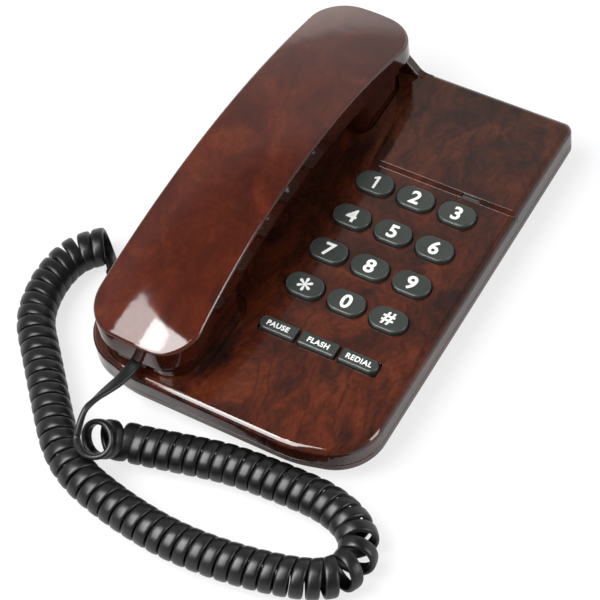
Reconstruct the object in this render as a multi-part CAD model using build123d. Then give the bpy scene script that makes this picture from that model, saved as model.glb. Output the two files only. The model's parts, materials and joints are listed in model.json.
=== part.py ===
"""Corded telephone: a low slab base with its keypad on the right, an arched handset lying along
the left, and a curly cord between them. Origin: middle of the footprint, on the surface it stands on.
+Z is up, -Y is the front edge of the base, +X is the keypad side. Millimetres."""
from build123d import *
import os
from math import asin, cos, degrees, hypot, pi, radians, sin, sqrt, tan

os.makedirs("parts", exist_ok=True)

# ------------------------------------------------------------------ driving dimensions
# base
base_width = 137.0
base_depth = 199.0
corner_radius = 22.0           # front plan corners
chin_drop = 7.6                # how far the bowed front edge falls back at the corners
chin_run = 29.0
chin_radius = 50.0
rear_corner_radius = 4.5
foot_height = 2.0
tub_depth = 6.2                # the bottom cover's tub hangs this far below its rim
tub_inset = 7.0
rim_height = 3.3               # visible wall of the bottom cover
housing_height = 9.5           # visible wall of the top housing, up to the front deck
shell = 2.0                    # wall of every moulded shell
deck_edge = 3.0                # rounding of the deck's edge
step_height = 0.8              # the rear deck stands this much above the front one
step_run = 2.5                 # its sloping front
step_from_front = 144.5
tongue = 1.2                   # lip of the housing inside the cover's rim
reveal = (0.45, 0.8)           # height and depth of the groove along the seam
fit = 0.2                      # moulded parts that locate in each other

# keypad
key_width = 17.2
key_depth = 11.2
column_pitch = 20.0
row_pitch = 20.3
keypad_from_side = 43.0        # middle column, in from the right side
keypad_rear = 12.5             # top row, in front of the step
key_proud = 2.3
key_travel = 1.5
key_gap = 0.45                 # round a key in its hole
key_flange = 1.3               # flange beyond the cap, under the deck
flange_thickness = 0.9
function_width = 17.3
function_depth = 6.4
function_pitch = 19.3
function_below = 23.5          # function row, in front of the bottom dial row
dome_gap = 0.1                 # a key under the deck, and a pressed key over its stud

# boards and switches
board_thickness = 1.6
board_drop = 5.0               # deck's inner face to the board's top
board_margin = 5.0
chip = (6.4, 22.0, 3.2)
bridge = (9.0, 7.0, 3.0)
capacitor = (3.1, 6.0)         # radius and height
capacitor_pitch = 9.0
resistor = (6.2, 2.2, 2.2)
resistor_pitch = 5.0
led_window_width = 9.0
led_window_depth = 2.0
led_window_x = 20.6            # to the right of the keypad's middle column
led_below_step = 1.35
plunger_travel = 4.0
plunger_radius = 3.2
plunger_rear = 9.0             # behind the front edge of the ear well
stem_radius = 1.8
hook_block = (18.0, 14.0, 4.8)
spring_wire = 0.6
spring_turns = 4
running_gap = 0.3              # between parts that slide or turn
slot_travel = 4.0
knob_width = 3.2
knob_height = 2.4
knob_proud = 1.6
switch_body = (13.0, 6.0, 5.6)
ringer_switch_from_side = 22.5
dial_mode_from_side = 42.5
ringer_radius = 15.0
ringer_height = 7.5
ringer_from_side = 38.5
ringer_from_rear = 29.0

# jacks and plugs
line_jack_x = 2.0
line_jack = (13.0, 13.0, 8.0)
line_socket = (9.7, 6.4)
cord_jack = (10.6, 12.4, 7.8)
cord_socket = (8.0, 6.4)
jack_gap = 0.1                 # jack's back to the wall it sits behind
socket_depth = 10.5
plug = (7.5, 11.5, 5.6)
plug_proud = 1.6
base_jack_from_front = 44.7

# fasteners and fittings
screw_radius = 1.4
screw_head_radius = 2.8
screw_head_height = 1.9
boss_radius = 3.6
cover_boss_radius = 4.4
housing_screw_length = 11.0
board_screw_radius = 1.0
board_screw_length = 5.0
foot_radius = 6.0
foot_recess = 0.6
foot_inset = (24.0, 36.0)
wall_hook_spacing = 83.0
keyhole_head_radius = 4.3
keyhole_slot = 4.4
keyhole_travel = 8.0
ballast = (46.0, 62.0, 2.5)
ballast_margin = 2.0           # between the ballast and the tub's left wall
ballast_below_middle = 8.0

# handset
mouth_end_width = 52.0
ear_end_width = 48.2
handset_mid_width = 46.3
handset_x = -34.5
handset_turn = -1.1            # degrees it lies askew in its wells
handset_front_inset = 2.9      # front tip, behind the base's front edge
handset_rear_overhang = 6.0    # rear tip, beyond the base's rear edge
handset_arch = 17.9            # how far the rim falls from the middle to the tips
rim_clearance = 27.0           # rim's middle above the front deck
shell_side = 8.8               # side wall of the upper shell
crown = 2.3
end_corner = 17.0
end_bow = 2.5
crest_edge = 1.6
grip_depth = 5.0               # lower shell under the rim, along the grip
cup_inset = 3.0                # foot of a cup, in from the shell's side
cup_draft = 4.0                # degrees
mouth_cup_inset = 3.6          # each cup's outer end, in from the handset's tip
mouth_cup_length = 46.5
ear_cup_inset = 13.4
ear_cup_length = 36.7
mic_from_cup = 32.0            # microphone, behind the front of its cup
cup_outer_corner = 12.0
cup_inner_corner = 5.5
well_depth = 0.8
well_gap = 2.6                 # play of a cup in its well
lip_inset = 0.15               # lower shell's lip inside the upper shell
lip_height = 1.6
lip_thickness = 1.4
receiver_radius = 16.0
receiver_height = 8.0
gasket_height = 1.0
mic_radius = 4.85
mic_height = 6.5
mic_sleeve = 1.6
weight_bar = (14.0, 40.0, 4.0)
screw_from_cup = 12.1          # handset screws, from the cups' inner ends
handset_screw_radius = 1.1
handset_screw_length = 7.0
handset_screw_head = (2.5, 1.4)
screw_cover_radius = 2.6
grip_inset = 1.0               # lower shell's wall, under the upper shell's edge
lift = 45.0

# saddle behind the ear cup
saddle_thickness = 4.7
saddle_height = 10.2
saddle_right = 21.1            # its right end, from the handset's middle line
saddle_slope = 7.5
saddle_set_in = 0.8

# curly cord
coil_outer = 16.8
wire = 3.8
coil_turns = 66.19
turn_gap = 0.9                 # least gap aimed for on the inside of a bend
coil_pitch = 5.8
jack_drop = 6.1                # a cord socket's middle, under the deck

# ------------------------------------------------------------------ derived levels
z_cover = foot_height
z_rim = z_cover + tub_depth
z_seam = z_rim + rim_height
z_deck = z_seam + housing_height
z_rear_deck = z_deck + step_height
z_inner = z_deck - shell
z_floor = z_cover + shell
z_board = z_inner - board_drop
z_well = z_deck - well_depth

handset_length = base_depth - handset_front_inset + handset_rear_overhang
base_front = -(base_depth + handset_rear_overhang) / 2
base_rear = base_front + base_depth
base_y = (base_front + base_rear) / 2
base_half = base_width / 2
step_y = base_front + step_from_front
handset_y = base_front + handset_front_inset + handset_length / 2
z_grip_rim = z_deck + rim_clearance
arch_radius = ((handset_length / 2) ** 2 + handset_arch ** 2) / (2 * handset_arch)
crown_radius = ((mouth_end_width / 2) ** 2 + crown ** 2) / (2 * crown)

keypad_top = step_y - keypad_rear
function_y = keypad_top - 3 * row_pitch - function_below
inner_face = base_half - shell
keypad_x = base_half - keypad_from_side
ringer_switch_x = base_half - ringer_switch_from_side
dial_mode_switch_x = base_half - dial_mode_from_side
mouth_cup = (mouth_cup_inset - handset_length / 2, mouth_cup_inset + mouth_cup_length - handset_length / 2)
ear_cup = (handset_length / 2 - ear_cup_inset - ear_cup_length, handset_length / 2 - ear_cup_inset)
handset_screw_at = ear_cup[0] - screw_from_cup
rear_face = base_rear - shell


# ------------------------------------------------------------------ helpers
def box(size, corner, radius=0.0):
    """A box whose least corner is given, with its upright edges rounded."""
    solid = Pos(*corner) * Box(*size, align=(Align.MIN, Align.MIN, Align.MIN))
    if radius:
        solid = fillet(solid.edges().filter_by(Axis.Z), radius)
    return solid


def centred(size, middle, bottom, radius=0.0):
    """A box centred on a point in plan, standing on a level."""
    return box(size, (middle[0] - size[0] / 2, middle[1] - size[1] / 2, bottom), radius)


def disc(radius, height, middle, bottom):
    return Pos(middle[0], middle[1], bottom) * Cylinder(
        radius, height, align=(Align.CENTER, Align.CENTER, Align.MIN))


def save(shape, name):
    shape.label = name
    export_step(shape, f"parts/{name}.step")


def save_group(solids, name):
    save(Compound(children=list(solids)), name)


def block(outline, bottom, top):
    """An outline raised between two levels."""
    return Pos(0, 0, bottom) * extrude(outline, top - bottom)


# ------------------------------------------------------------------ outlines
def base_outline(inset=0.0):
    """Plan of the base: square rear corners, a bowed front edge with wide corners."""
    points = [
        (base_half, base_rear), (-base_half, base_rear), (-base_half, base_front + chin_drop),
        (-base_half + chin_run, base_front), (base_half - chin_run, base_front),
        (base_half, base_front + chin_drop)]
    face = make_face(Polyline(*points, close=True))
    corners = face.vertices()
    rear = corners.filter_by_position(Axis.Y, base_rear - 0.1, base_rear + 0.1)
    face = fillet(rear, rear_corner_radius)
    chin = face.vertices().filter_by_position(Axis.Y, base_front - 0.1, base_front + 0.1)
    face = fillet(chin, chin_radius)
    at_drop = base_front + chin_drop
    sides = face.vertices().filter_by_position(Axis.Y, at_drop - 0.1, at_drop + 0.1)
    face = fillet(sides, corner_radius)
    if inset:
        face = offset(face, -inset, kind=Kind.INTERSECTION)
    return face


def oval(width, depth):
    """A key's plan: flat front and rear, rounded ends that are a little fuller than half circles."""
    return RectangleRounded(width, depth, depth / 2 - 0.01)


def handset_outline(inset=0.0):
    """Plan of the handset about its own middle: waisted sides and bowed, rounded ends."""
    half = handset_length / 2 - inset
    mouth = mouth_end_width / 2 - inset
    ear = ear_end_width / 2 - inset
    waist = handset_mid_width / 2 - inset
    shoulder = half - end_bow
    edges = [
        ThreePointArc((mouth, -shoulder), (waist, 0), (ear, shoulder)),
        ThreePointArc((ear, shoulder), (0, half), (-ear, shoulder)),
        ThreePointArc((-ear, shoulder), (-waist, 0), (-mouth, -shoulder)),
        ThreePointArc((-mouth, -shoulder), (0, -half), (mouth, -shoulder))]
    face = make_face(edges)
    return fillet(face.vertices(), end_corner - inset)


def arched(section, reach=None):
    """Sweep a section, drawn in X and height above the rim's middle, round the handset's arch."""
    angle = degrees(asin((handset_length / 2) / arch_radius)) + 3
    placed = Plane.XZ * section
    axis = Axis((0, 0, -arch_radius), (1, 0, 0))
    solid = revolve(Pos(0, 0, 0) * placed, axis=axis, revolution_arc=2 * angle)
    return solid.rotate(axis, -angle)


def band(bottom, top, crowned=False, wide=60.0):
    """The arched layer between two heights over the rim, its top crowned if asked."""
    half = wide / 2
    if not crowned:
        face = make_face(Polyline((-half, bottom), (half, bottom), (half, top), (-half, top), close=True))
        return arched(face)
    edge = top - (crown_radius - sqrt(crown_radius ** 2 - half ** 2))
    top_arc = ThreePointArc((half, edge), (0, top), (-half, edge))
    face = make_face([Line((-half, bottom), (half, bottom)), Line((half, bottom), (half, edge)), top_arc,
                      Line((-half, edge), (-half, bottom))])
    return arched(face)


handset_place = Pos(handset_x, handset_y, z_grip_rim) * Rot(0, 0, handset_turn)


def place_handset(solid):
    return handset_place * solid


def cup_outline(ends, grow=0.0):
    """Foot of a cup about the handset's middle; its outer corners are the wider ones."""
    half = handset_mid_width / 2 - cup_inset + 1.0
    low, high = ends
    face = Pos(0, (low + high) / 2) * Rectangle(2 * half, high - low)
    outer = low if abs(low) > abs(high) else high
    inner = high if outer == low else low
    face = fillet(face.vertices().filter_by_position(Axis.Y, outer - 0.1, outer + 0.1), cup_outer_corner)
    face = fillet(face.vertices().filter_by_position(Axis.Y, inner - 0.1, inner + 0.1), cup_inner_corner)
    if grow:
        face = offset(face, grow)
    return face


# ------------------------------------------------------------------ places shared by several parts
keys = {}
for index, label in enumerate(["1", "2", "3", "4", "5", "6", "7", "8", "9", "star", "0", "hash"]):
    column, row = index % 3 - 1, index // 3
    keys[label] = (keypad_x + column * column_pitch, keypad_top - row * row_pitch)
function_keys = {
    name: (keypad_x + place * function_pitch, function_y)
    for place, name in zip((-1, 0, 1), ("pause", "flash", "redial"))}

screw_x = base_half - tub_inset - shell - cover_boss_radius - 1.0
screw_spots = [(side * screw_x, y) for side in (-1, 1)
               for y in (base_front + tub_inset + shell + 9.0, base_rear - tub_inset - shell - 6.5)]
board_left = keypad_x - function_pitch - function_width / 2 - key_flange - board_margin
board_right = keypad_x + function_pitch + function_width / 2 + key_flange + board_margin
board_front = function_y - function_depth / 2 - key_flange - board_margin
board_rear = step_y + board_margin
board_spots = [(x, y) for x in (board_left + 2.6, board_right - 2.6)
               for y in (board_front + 2.6, keypad_top - 1.5 * row_pitch, board_rear - 2.6)]
foot_spots = [(sx * (base_half - foot_inset[0]), base_y + sy * (base_depth / 2 - foot_inset[1]))
              for sx in (-1, 1) for sy in (-1, 1)]
hook_spots = [(0.0, base_y + s * wall_hook_spacing / 2) for s in (-1, 1)]
ringer_spot = (base_half - ringer_from_side, base_rear - ringer_from_rear)
plunger_spot = (handset_x, handset_y + ear_cup[0] + plunger_rear)
led_spot = (keypad_x + led_window_x, step_y - led_below_step)
base_jack_y = base_front + base_jack_from_front
z_base_socket = z_deck - jack_drop
z_handset_socket = z_well + shell + cord_jack[2] / 2 + 0.1
z_screw_seat = z_cover + screw_head_height + 1.6
z_boss = z_screw_seat + 4.5
z_line_jack = z_inner - 0.2 - line_jack[2]
z_line_socket = z_line_jack + line_jack[2] / 2
z_cord_jack = z_base_socket - cord_jack[2] / 2
function_to_top = keypad_top + key_depth / 2 + key_flange - board_front
ballast_spot = (tub_inset + shell + ballast_margin + ballast[0] / 2 - base_half,
                handset_y - ballast_below_middle)
z_switch = z_inner - 0.4 - switch_body[2] / 2

# heights and stations in the handset, from the middle of its rim
z_cup_foot = z_well - z_grip_rim
z_weight = -grip_depth + shell + 0.3
receiver_at = (ear_cup[0] + ear_cup[1]) / 2
mic_at = mouth_cup[0] + mic_from_cup


# ------------------------------------------------------------------ base mouldings
def housing_body(inset, top, rear_top, rounding):
    """The top housing's outer or inner form: a slab with a slightly raised rear part."""
    slab = block(base_outline(inset), z_seam, top)
    if rounding:
        slab = fillet(slab.edges().group_by(Axis.Z)[-1], rounding)
    if rear_top <= top:
        return slab
    rear = block(base_outline(inset), z_seam, rear_top)
    rear &= box((base_width, base_depth, 99), (-base_half, step_y - step_run, 0))
    rear = fillet(rear.edges().group_by(Axis.Z)[-1].filter_by_position(
        Axis.Y, step_y - step_run + 0.5, base_rear + 1), rounding)
    ramp = Plane.YZ * make_face(Polyline(
        (step_y - step_run - 1, top), (step_y - step_run, top), (step_y, rear_top),
        (step_y, rear_top + 5), (step_y - step_run - 1, rear_top + 5), close=True))
    return slab + (rear - Pos(-base_half - 1, 0, 0) * extrude(ramp, base_width + 2))


def saddle():
    """Upright wall behind the ear cup; its right end slopes down to the deck."""
    top_right = handset_x + saddle_right
    foot_right = top_right + saddle_slope
    left = -base_half + deck_edge
    top = z_deck + saddle_height
    low = z_deck - deck_edge
    profile = make_face(Polyline(
        (left, low), (foot_right + 5, low), (foot_right + 5, z_rear_deck), (foot_right, z_rear_deck),
        (top_right, top), (left, top), close=True))
    foot = profile.vertices().sort_by_distance((foot_right, z_rear_deck))[0]
    profile = fillet(foot, 5.0)
    upper = profile.vertices().filter_by_position(Axis.Y, top - 0.1, top + 0.1)
    profile = fillet(upper, 2.5)
    solid = Pos(0, base_rear - saddle_set_in, 0) * extrude(Plane.XZ * profile, saddle_thickness)
    crest = solid.edges().filter_by_position(Axis.Z, z_rear_deck + 3, top + 1)
    return fillet([edge for edge in crest if abs((edge % 0.5).Y) < 0.5], 0.9)


def slot_cut(size, middle):
    """A cutting box given by its size and its middle."""
    return Pos(*middle) * Box(*size)


def top_housing():
    outer = housing_body(0, z_deck, z_rear_deck, deck_edge) + saddle()
    inner = housing_body(shell, z_inner, z_inner, 0)
    body = outer - inner
    lip = block(base_outline(shell + fit), z_seam - tongue, z_seam + 1) \
        - block(base_outline(shell + fit + 1.0), z_seam - tongue, z_seam + 1)
    web = block(base_outline(shell - 0.5), z_seam, z_seam + 1) \
        - block(base_outline(shell + fit + 1.0), z_seam, z_seam + 1)
    body = body + lip + web
    groove = block(base_outline(), z_seam, z_seam + reveal[0])
    body -= groove - block(base_outline(reveal[1]), z_seam, z_seam + reveal[0])
    for spot in screw_spots:
        body += disc(boss_radius, z_inner - z_boss, spot, z_boss)
        body -= disc(screw_radius + 0.1, housing_screw_length, spot, z_screw_seat)
    for spot in board_spots:
        body += disc(2.4, board_drop, spot, z_board)
        body -= disc(board_screw_radius + 0.1, 4.0, spot, z_board)
    for x, y in keys.values():
        body -= Pos(x, y, z_inner - 1) * extrude(oval(key_width + 2 * key_gap, key_depth + 2 * key_gap), 9)
    for x, y in function_keys.values():
        body -= centred((function_width + 2 * key_gap, function_depth + 2 * key_gap, 9), (x, y),
                        z_inner - 1, 1.2)
    body -= centred((led_window_width, led_window_depth, 9), led_spot, z_inner - 1, 0.6)
    for ends in (mouth_cup, ear_cup):
        well = cup_outline(ends, well_gap)
        body -= Pos(handset_x, handset_y, z_well) * extrude(well, 3.5)
    body -= disc(plunger_radius + running_gap, 9, plunger_spot, z_inner - 1)
    body -= slot_cut((3 * shell, cord_socket[0] + fit, cord_socket[1] + fit),
                     (-base_half, base_jack_y, z_base_socket))
    body -= slot_cut((line_socket[0] + fit, 3 * shell, line_socket[1]),
                     (line_jack_x, base_rear, z_line_socket))
    lip_middle = z_seam + (1.0 - tongue) / 2
    lip_room = 1.0 + tongue + fit
    body -= slot_cut((6.0, cord_jack[0] + 3 * fit, lip_room), (3.0 - inner_face, base_jack_y, lip_middle))
    body -= slot_cut((line_jack[0] + 3 * fit, 6.0, lip_room), (line_jack_x, rear_face - 3.0, lip_middle))
    for x in (ringer_switch_x, dial_mode_switch_x):
        body -= slot_cut((knob_width + slot_travel + 1.2, 3 * shell, knob_height + 0.8),
                         (x, base_rear, z_switch))
    for side in (-1, 1):
        body -= slot_cut((0.6, 0.5, housing_height), (side * base_half, step_y - 1.0, z_deck))
    return body


def keyhole(spot):
    """Head opening with a slot running up from it."""
    x, y = spot
    opening = disc(keyhole_head_radius, 9, spot, z_cover - 3)
    neck = box((keyhole_slot, keyhole_travel, 9), (x - keyhole_slot / 2, y, z_cover - 3))
    end = disc(keyhole_slot / 2, 9, (x, y + keyhole_travel), z_cover - 3)
    return opening + neck + end


def bottom_cover():
    tub = fillet(block(base_outline(tub_inset), z_cover, z_rim + 0.5).edges().group_by(Axis.Z)[0], 1.6)
    plate = block(base_outline(), z_rim, z_seam) - block(base_outline(shell), z_rim + shell, z_seam)
    body = tub + plate
    body -= block(base_outline(tub_inset + shell), z_floor, z_seam + 1)
    for spot in screw_spots:
        body += disc(cover_boss_radius, z_boss - z_floor, spot, z_floor)
        body -= disc(boss_radius + fit, z_seam, spot, z_boss)
        body -= disc(screw_radius + 0.3, 20, spot, z_cover - 1)
        body -= disc(screw_head_radius + 0.3, z_screw_seat - z_cover + 0.1, spot, z_cover - 0.1)
    for spot in foot_spots:
        body -= disc(foot_radius + 0.1, foot_recess + 1, spot, z_cover - 1)
    for spot in hook_spots:
        body -= keyhole(spot)
    body += disc(ringer_radius + 1.4, 3.0, ringer_spot, z_floor) \
        - disc(ringer_radius + 0.1, 3.0, ringer_spot, z_floor)
    for angle in range(0, 360, 60):
        hole = (ringer_spot[0] + 6 * cos(radians(angle)), ringer_spot[1] + 6 * sin(radians(angle)))
        body -= disc(1.2, 5, hole, z_cover - 1)
    room = (hook_block[0] + fit, hook_block[1] + fit, 2.0)
    pocket = (room[0] + 2.2, room[1] + 2.2, room[2])
    body += centred(pocket, plunger_spot, z_floor) - centred(room, plunger_spot, z_floor)
    body += centred((ballast[0] + 2.6, ballast[1] + 2.6, 1.6), ballast_spot, z_floor) \
        - centred((ballast[0] + 0.2, ballast[1] + 0.2, 1.6), ballast_spot, z_floor)
    jack_seat = (line_jack[0], 10.0, z_line_jack - z_floor)
    body += centred(jack_seat, (line_jack_x, rear_face - jack_gap - 9.0), z_floor)
    body += centred((5, cord_jack[0], z_cord_jack - z_floor),
                    (-inner_face + jack_gap + cord_jack[1] - 2.7, base_jack_y), z_floor)
    for x in (ringer_switch_x, dial_mode_switch_x):
        body += centred((switch_body[0] - 4, 3, z_switch - switch_body[2] / 2 - z_floor),
                        (x, rear_face - jack_gap - switch_body[1] + 1.5), z_floor)
    return body


def screw(length, spot, seat, head_radius=screw_head_radius, radius=screw_radius, head=screw_head_height):
    """Pan-head screw driven upwards: its head is under the seat, its shank above."""
    body = disc(head_radius, head, spot, seat - head)
    body = fillet(body.edges().group_by(Axis.Z)[0], head * 0.35)
    body += disc(radius, length, spot, seat)
    for turn in (0, 90):
        cross = Pos(spot[0], spot[1], seat - head) * Rot(0, 0, turn) * Box(head_radius * 1.1, 0.7, 1.4)
        body -= cross
    return body


# ------------------------------------------------------------------ inside the base
def main_board():
    board = box((board_right - board_left, board_rear - board_front, board_thickness),
                (board_left, board_front, z_board - board_thickness), 1.5)
    for spot in board_spots:
        board -= disc(board_screw_radius + 0.25, 9, spot, z_board - 4)
    return board


def circuit_parts():
    """Dialler chip, bridge, capacitors and resistors under the board."""
    under = z_board - board_thickness
    left = (board_left + keypad_x) / 2
    right = (keypad_x + board_right) / 2
    chip_y = keypad_top - chip[1]
    parts = [centred(chip, (keypad_x, chip_y), under - chip[2]),
             centred(bridge, (left, keypad_top), under - bridge[2])]
    for place in range(3):
        spot = (right, keypad_top - capacitor_pitch * place)
        parts.append(disc(capacitor[0], capacitor[1], spot, under - capacitor[1]))
    for place in range(6):
        spot = (left, keypad_top - bridge[1] - resistor_pitch * (place + 0.5))
        parts.append(centred(resistor, spot, under - resistor[2]))
    return parts


def key_membrane():
    """Rubber sheet on the board with a stud under every key, a little below the pressed key."""
    margin = 1.6
    sheet = box((board_right - board_left - 2 * margin, function_to_top, 0.8),
                (board_left + margin, board_front + margin, z_board), 2.0)
    for spot in board_spots:
        sheet -= disc(3.0, 2, spot, z_board - 0.5)
    top = z_inner - flange_thickness - key_travel - 2 * dome_gap
    for x, y in list(keys.values()) + list(function_keys.values()):
        dome = Pos(x, y, z_board + 0.4) * Cone(
            3.0, 1.9, top - z_board - 0.4, align=(Align.CENTER, Align.CENTER, Align.MIN))
        sheet += dome
        sheet -= disc(1.5, 1.6, (x, y), z_board)
    return sheet


def push_key(spot, plan, flange_plan):
    """Key cap with a flange that holds it under the deck."""
    x, y = spot
    foot = z_inner - flange_thickness - dome_gap
    top = z_deck + key_proud
    cap = Pos(x, y, foot) * extrude(plan, top - foot)
    cap = fillet(cap.edges().group_by(Axis.Z)[-1], 0.8)
    return cap + Pos(x, y, foot) * extrude(flange_plan, flange_thickness)


def dial_key(label):
    return push_key(keys[label], oval(key_width, key_depth),
                    oval(key_width + 2 * key_flange - 0.5, key_depth + 2 * key_flange))


def function_key(name):
    """The outer two keys have their outer ends rounded, so that the three read as one capsule."""
    plan = Rectangle(function_width, function_depth)
    turn = {"pause": -1, "flash": 0, "redial": 1}[name]
    ends = plan.vertices()
    outer = [v for v in ends if turn and v.X * turn > 0]
    inner = [v for v in ends if v not in outer]
    if outer:
        plan = fillet(outer, function_depth / 2 - 0.05)
    inner = [v for v in plan.vertices() if abs(abs(v.X) - function_width / 2) < 0.01
             and abs(abs(v.Y) - function_depth / 2) < 0.01 and v.X * turn <= 0]
    plan = fillet(inner, 0.8)
    flange = Rectangle(function_width + 1.2, function_depth + 2 * key_flange)
    return push_key(function_keys[name], plan, flange)


def hook_plunger():
    """Plunger in the ear well, pressed down while the handset lies on it."""
    x, y = plunger_spot
    top = z_well - running_gap
    flange_top = z_inner - plunger_travel - running_gap
    body = disc(plunger_radius, top - flange_top, plunger_spot, flange_top)
    body = fillet(body.edges().group_by(Axis.Z)[-1], 1.2)
    body += disc(plunger_radius + 1.6, 1.2, plunger_spot, flange_top - 1.2)
    return body + disc(stem_radius, flange_top - 1.2 - z_floor - 0.4, plunger_spot, z_floor + 0.4)


def hook_switch():
    body = centred(hook_block, plunger_spot, z_floor, 1.0)
    return body - disc(stem_radius + running_gap, 9, plunger_spot, z_floor - 1)


def hook_spring():
    """Compression spring between the switch block and the plunger's flange."""
    bottom = z_floor + hook_block[2] + spring_wire / 2
    top = z_inner - plunger_travel - running_gap - 1.2 - spring_wire / 2
    radius = stem_radius + running_gap + spring_wire
    pitch = (top - bottom) / spring_turns
    path = Pos(plunger_spot[0], plunger_spot[1], bottom) * Helix(pitch, top - bottom, radius)
    profile = Plane(origin=path @ 0, z_dir=path % 0) * Circle(spring_wire / 2)
    return sweep(profile, path=path, is_frenet=True)


def ringer_capsule():
    body = disc(ringer_radius, ringer_height, ringer_spot, z_floor)
    body = fillet(body.edges(), 0.8)
    return body - disc(2.0, 1.5, ringer_spot, z_floor + ringer_height - 1.5)


def socket_body(size, socket, depth):
    """Modular jack lying along Y, its mouth at the -Y end, centred on the mouth's middle."""
    body = Pos(0, size[1] / 2, 0) * Box(*size)
    mouth = Pos(0, depth / 2, 0) * Box(socket[0], depth, socket[1])
    catch = Pos(0, depth / 2, -socket[1] / 2) * Box(socket[0] * 0.45, depth, 1.2)
    return fillet(body.edges().filter_by(Axis.Y), 0.5) - mouth - catch


def modular_plug(size):
    """Clear plug with its latch underneath, lying along Y with its nose at +Y."""
    width, length, height = size
    body = Pos(0, length / 2, 0) * Box(width, length, height)
    body = fillet(body.edges().filter_by(Axis.Y), 0.5)
    latch = Pos(0, length * 0.45, -height / 2 - 0.15) * Box(width * 0.36, length * 0.7, 0.5)
    for place in range(4):
        body -= Pos((place - 1.5) * 1.1, length - 2.0, height / 2) * Box(0.5, 3.0, 1.4)
    return body + latch


def base_jack_place(solid):
    """Turn a jack or plug to enter the left wall."""
    return Pos(-inner_face + jack_gap, base_jack_y, z_base_socket) * Rot(0, 0, -90) * solid


def base_plug_place(solid):
    return Pos(-base_half - plug_proud, base_jack_y, z_base_socket) * Rot(0, 0, -90) * solid


def handset_jack_place(solid):
    return place_handset(Pos(0, mouth_cup[0] + shell + jack_gap, z_handset_socket - z_grip_rim) * solid)


def handset_plug_place(solid):
    return place_handset(Pos(0, mouth_cup[0] - plug_proud, z_handset_socket - z_grip_rim) * solid)


def slide_switch(x):
    """Two-way slide switch behind a slot in the rear wall; returns its body and its knob."""
    width, depth, height = switch_body
    rear = rear_face - jack_gap
    body = box(switch_body, (x - width / 2, rear - depth, z_switch - height / 2))
    track = (knob_width + slot_travel + 2.4, 2.0, knob_height + 1.4)
    body -= slot_cut((track[0], 2 * track[1], track[2]), (x, rear, z_switch))
    left = x - slot_travel / 2
    slider = slot_cut((knob_width + 1.6, track[1] - 2 * fit, track[2] - 2 * fit),
                      (left, rear - track[1] / 2, z_switch))
    reach = base_rear + knob_proud - (rear - track[1] / 2)
    knob = box((knob_width, reach, knob_height),
               (left - knob_width / 2, rear - track[1] / 2, z_switch - knob_height / 2))
    return body, slider + knob


def led():
    x, y = led_spot
    body = disc(1.5, 1.6, led_spot, z_board)
    return body + Pos(x, y, z_board + 1.6) * Sphere(1.5)


def led_lens():
    """Strip of clear plastic that fills the window, held by a flange under the deck."""
    low = z_inner - 0.8
    strip = (led_window_width - 2 * fit, led_window_depth - 2 * fit, z_deck - 0.5 - low)
    flange = (led_window_width + 1.6, led_window_depth + 1.0, 0.8)
    return centred(strip, led_spot, low, 0.5) + centred(flange, led_spot, low)


def ballast_plate():
    return centred(ballast, ballast_spot, z_floor, 0.0)


def feet():
    pads = []
    for spot in foot_spots:
        pad = disc(foot_radius, foot_height + foot_recess, spot, 0)
        pads.append(fillet(pad.edges().group_by(Axis.Z)[0], 0.6))
    return pads


# ------------------------------------------------------------------ handset, drawn about its own middle
def under_rim(bottom, ends, inset):
    """The part of the handset between the rim and an arched layer below it, between two stations."""
    layer = band(bottom, 0.0)
    low, high = ends
    layer &= box((80, high - low, 120), (-40, low, -90))
    return layer & block(handset_outline(inset), -90, 30)


def cup(ends, grow, bottom):
    """Tapered cup from its foot up to the rim."""
    foot = cup_outline(ends, grow)
    height = -bottom + 4
    solid = Pos(0, 0, bottom) * extrude(foot, height, taper=-cup_draft)
    return solid & band(-80, 0.0)


def handset_upper_shell():
    outer = band(0.0, shell_side + crown, True) & block(handset_outline(), -90, 60)
    crest = outer.edges().filter_by_position(Axis.Z, -90, 60)
    rim_radius = arch_radius + shell_side * 0.5
    high = [e for e in crest if hypot(e.center().Y, e.center().Z + arch_radius) > rim_radius
            and e.length > 12.5]
    outer = fillet(high, crest_edge)
    inner = band(-3.0, shell_side + crown - shell, True) & block(handset_outline(shell), -90, 60)
    body = outer - inner
    for y in (-handset_screw_at, handset_screw_at):
        body += disc(2.6, 40, (0, y), z_handset_boss(y)) & band(-grip_depth, shell_side + crown - 1.0, True)
        body -= disc(handset_screw_radius + 0.02, 7.0, (0, y), z_handset_boss(y) - 0.5)
    return body


def z_handset_boss(y):
    """Foot of an upper shell's screw boss."""
    return sqrt((arch_radius - grip_depth + shell + 2.1) ** 2 - y ** 2) - arch_radius


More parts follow.
